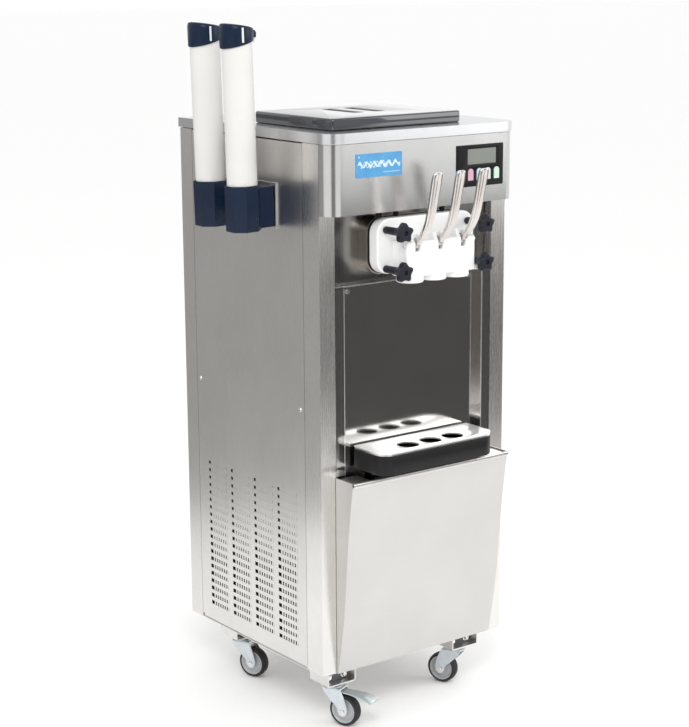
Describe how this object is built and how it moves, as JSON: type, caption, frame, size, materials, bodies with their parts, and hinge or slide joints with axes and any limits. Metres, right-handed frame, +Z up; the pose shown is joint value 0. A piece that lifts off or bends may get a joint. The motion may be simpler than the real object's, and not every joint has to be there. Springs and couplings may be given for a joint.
{
  "type": "soft-serve ice cream machine",
  "caption": "Floor-standing soft-serve ice cream machine on castors, with a lever-worked dispensing head, drip tray, lidded mix hoppers and side cone dispensers.",
  "frame": {"origin": "middle of the whole machine's footprint on the floor, cone dispensers, levers and cable gland included", "axes": "+X to the right of someone facing the machine, +Y towards its back, +Z up"},
  "size_m": [0.6675, 0.734, 1.6169],
  "materials": {
    "stainless": "satin, brushed",
    "stainless_dark": "mirror polished",
    "zinc": "zinc plated",
    "polished": "polished",
    "frame_steel": "matt",
    "white_plastic": "satin",
    "black_plastic": "satin",
    "navy_plastic": "gloss",
    "lid_plastic": "gloss",
    "white_tube": "gloss",
    "key_pink": "gloss",
    "key_blue": "gloss",
    "key_grey": "gloss",
    "key_green": "gloss",
    "tyre": "matt",
    "pedal": "satin",
    "compressor_black": "gloss",
    "fins": "plain",
    "motor_grey": "painted",
    "copper": "drawn tube",
    "gland_rubber": "matt"
  },
  "bodies": {
    "cabinet": {"chassis_frame": "frame_steel", "castor_mounts": "stainless", "left_side_panel": "stainless", "right_side_panel": "stainless", "rear_panel": "stainless", "cable_gland": "gland_rubber", "base_pan": "stainless", "front_posts": "stainless", "upper_panel": "stainless_dark", "splash_panel": "stainless_dark", "front_hood": "stainless", "top_cover": "stainless", "lower_door": "stainless", "mix_hoppers": "stainless", "freezing_cylinders": "stainless", "cylinder_flange": "stainless", "gear_motors": "motor_grey", "compressor": "compressor_black", "condenser": "fins", "refrigerant_lines": "copper", "control_box": "frame_steel", "dispensing_head": "white_plastic", "lever_pivot_pin": "polished", "head_studs": "polished", "display_module": "black_plastic", "dispenser_rail": "stainless", "dispenser_holders": "navy_plastic", "dispenser_tubes": "white_tube", "cabinet_screws": "polished"},
    "beater_left_body": {"beater_left": "stainless"},
    "beater_right_body": {"beater_right": "stainless"},
    "fan_blade_body": {"fan_blade": "black_plastic"},
    "lever_left_body": {"lever_left": "polished"},
    "lever_centre_body": {"lever_centre": "polished"},
    "lever_right_body": {"lever_right": "polished"},
    "piston_left_body": {"piston_left": "white_plastic"},
    "piston_centre_body": {"piston_centre": "white_plastic"},
    "piston_right_body": {"piston_right": "white_plastic"},
    "star_knob_lower_left_body": {"star_knob_lower_left": "black_plastic"},
    "star_knob_upper_left_body": {"star_knob_upper_left": "black_plastic"},
    "star_knob_lower_right_body": {"star_knob_lower_right": "black_plastic"},
    "star_knob_upper_right_body": {"star_knob_upper_right": "black_plastic"},
    "key_1_body": {"key_1": "key_pink"},
    "key_2_body": {"key_2": "key_blue"},
    "key_3_body": {"key_3": "key_grey"},
    "key_4_body": {"key_4": "key_green"},
    "hopper_lid_body": {"hopper_lid": "lid_plastic"},
    "drip_tray_body": {"drip_tray": "black_plastic"},
    "drip_cover_body": {"drip_cover": "stainless"},
    "dispenser_cap_front_body": {"dispenser_cap_front": "navy_plastic"},
    "dispenser_cap_rear_body": {"dispenser_cap_rear": "navy_plastic"},
    "brake_pedal_body": {"brake_pedal": "pedal"},
    "castor_fork_front_left_body": {"castor_fork_front_left": "zinc"},
    "castor_wheel_front_left_body": {"castor_wheel_front_left": "tyre"},
    "castor_fork_front_right_body": {"castor_fork_front_right": "zinc"},
    "castor_wheel_front_right_body": {"castor_wheel_front_right": "tyre"},
    "castor_fork_rear_left_body": {"castor_fork_rear_left": "zinc"},
    "castor_wheel_rear_left_body": {"castor_wheel_rear_left": "tyre"},
    "castor_fork_rear_right_body": {"castor_fork_rear_right": "zinc"},
    "castor_wheel_rear_right_body": {"castor_wheel_rear_right": "tyre"}
  },
  "joints": [
    {"name": "lever_left_pull", "type": "hinge", "parent": "cabinet", "child": "lever_left_body", "pos_m": [-0.0053, -0.287, 1.132], "axis": [1, 0, 0], "range_deg": [0, 40]},
    {"name": "piston_left_lift", "type": "slide", "parent": "cabinet", "child": "piston_left_body", "axis": [0, 0, 1], "range_m": [0, 0.0143]},
    {"name": "lever_centre_pull", "type": "hinge", "parent": "cabinet", "child": "lever_centre_body", "pos_m": [0.0607, -0.287, 1.132], "axis": [1, 0, 0], "range_deg": [0, 40]},
    {"name": "piston_centre_lift", "type": "slide", "parent": "cabinet", "child": "piston_centre_body", "axis": [0, 0, 1], "range_m": [0, 0.0143]},
    {"name": "lever_right_pull", "type": "hinge", "parent": "cabinet", "child": "lever_right_body", "pos_m": [0.1267, -0.287, 1.132], "axis": [1, 0, 0], "range_deg": [0, 40]},
    {"name": "piston_right_lift", "type": "slide", "parent": "cabinet", "child": "piston_right_body", "axis": [0, 0, 1], "range_m": [0, 0.0143]},
    {"name": "beater_left_spin", "type": "hinge", "parent": "cabinet", "child": "beater_left_body", "pos_m": [-0.0053, -0.033, 1.128], "axis": [0, 1, 0], "continuous": true},
    {"name": "star_knob_lower_left_turn", "type": "hinge", "parent": "cabinet", "child": "star_knob_lower_left_body", "pos_m": [-0.0573, -0.303, 1.079], "axis": [0, 1, 0], "continuous": true},
    {"name": "star_knob_upper_left_turn", "type": "hinge", "parent": "cabinet", "child": "star_knob_upper_left_body", "pos_m": [-0.0573, -0.303, 1.166], "axis": [0, 1, 0], "continuous": true},
    {"name": "beater_right_spin", "type": "hinge", "parent": "cabinet", "child": "beater_right_body", "pos_m": [0.1267, -0.033, 1.128], "axis": [0, 1, 0], "continuous": true},
    {"name": "star_knob_lower_right_turn", "type": "hinge", "parent": "cabinet", "child": "star_knob_lower_right_body", "pos_m": [0.1787, -0.303, 1.079], "axis": [0, 1, 0], "continuous": true},
    {"name": "star_knob_upper_right_turn", "type": "hinge", "parent": "cabinet", "child": "star_knob_upper_right_body", "pos_m": [0.1787, -0.303, 1.166], "axis": [0, 1, 0], "continuous": true},
    {"name": "fan_spin", "type": "hinge", "parent": "cabinet", "child": "fan_blade_body", "pos_m": [-0.0943, 0.042, 0.34], "axis": [1, 0, 0], "continuous": true},
    {"name": "key_1_press", "type": "slide", "parent": "cabinet", "child": "key_1_body", "axis": [0, 1, 0], "range_m": [0, 0.001], "stiffness_N_per_m": 500},
    {"name": "key_2_press", "type": "slide", "parent": "cabinet", "child": "key_2_body", "axis": [0, 1, 0], "range_m": [0, 0.001], "stiffness_N_per_m": 500},
    {"name": "key_3_press", "type": "slide", "parent": "cabinet", "child": "key_3_body", "axis": [0, 1, 0], "range_m": [0, 0.001], "stiffness_N_per_m": 500},
    {"name": "key_4_press", "type": "slide", "parent": "cabinet", "child": "key_4_body", "axis": [0, 1, 0], "range_m": [0, 0.001], "stiffness_N_per_m": 500},
    {"name": "hopper_lid_lift", "type": "slide", "parent": "cabinet", "child": "hopper_lid_body", "axis": [0, 0, 1], "range_m": [0, 0.25]},
    {"name": "drip_tray_slide", "type": "slide", "parent": "cabinet", "child": "drip_tray_body", "axis": [0, -1, 0], "range_m": [0, 0.15]},
    {"name": "drip_cover_lift", "type": "slide", "parent": "drip_tray_body", "child": "drip_cover_body", "axis": [0, 0, 1], "range_m": [0, 0.06]},
    {"name": "dispenser_cap_front_hinge", "type": "hinge", "parent": "cabinet", "child": "dispenser_cap_front_body", "pos_m": [-0.25347, -0.023, 1.58695], "axis": [0, 1, 0], "range_deg": [0, 100]},
    {"name": "dispenser_cap_rear_hinge", "type": "hinge", "parent": "cabinet", "child": "dispenser_cap_rear_body", "pos_m": [-0.25347, 0.105, 1.58695], "axis": [0, 1, 0], "range_deg": [0, 100]},
    {"name": "castor_front_left_swivel", "type": "hinge", "parent": "cabinet", "child": "castor_fork_front_left_body", "pos_m": [-0.1473, -0.157, 0.096], "axis": [0, 0, 1], "continuous": true},
    {"name": "castor_front_left_roll", "type": "hinge", "parent": "castor_fork_front_left_body", "child": "castor_wheel_front_left_body", "pos_m": [-0.13402, -0.1883, 0.0375], "axis": [0.9205, 0.3907, 0], "continuous": true},
    {"name": "castor_front_right_swivel", "type": "hinge", "parent": "cabinet", "child": "castor_fork_front_right_body", "pos_m": [0.2287, -0.157, 0.096], "axis": [0, 0, 1], "continuous": true},
    {"name": "castor_front_right_roll", "type": "hinge", "parent": "castor_fork_front_right_body", "child": "castor_wheel_front_right_body", "pos_m": [0.21542, -0.1257, 0.0375], "axis": [-0.9205, -0.3907, 0], "continuous": true},
    {"name": "castor_rear_left_swivel", "type": "hinge", "parent": "cabinet", "child": "castor_fork_rear_left_body", "pos_m": [-0.1473, 0.222, 0.096], "axis": [0, 0, 1], "continuous": true},
    {"name": "castor_rear_left_roll", "type": "hinge", "parent": "castor_fork_rear_left_body", "child": "castor_wheel_rear_left_body", "pos_m": [-0.13402, 0.1907, 0.0375], "axis": [0.9205, 0.3907, 0], "continuous": true},
    {"name": "castor_rear_right_swivel", "type": "hinge", "parent": "cabinet", "child": "castor_fork_rear_right_body", "pos_m": [0.2287, 0.222, 0.096], "axis": [0, 0, 1], "continuous": true},
    {"name": "castor_rear_right_roll", "type": "hinge", "parent": "castor_fork_rear_right_body", "child": "castor_wheel_rear_right_body", "pos_m": [0.21542, 0.2533, 0.0375], "axis": [-0.9205, -0.3907, 0], "continuous": true},
    {"name": "brake_pedal_press", "type": "hinge", "parent": "castor_fork_front_left_body", "child": "brake_pedal_body", "pos_m": [-0.13792, -0.17909, 0.081], "axis": [0.9205, 0.3907, 0], "range_deg": [0, 18]}
  ],
  "couplings": [
    {"joint": "piston_left_lift", "follows": "lever_left_pull", "m_per_rad": 0.0203},
    {"joint": "piston_centre_lift", "follows": "lever_centre_pull", "m_per_rad": 0.0203},
    {"joint": "piston_right_lift", "follows": "lever_right_pull", "m_per_rad": 0.0203}
  ]
}
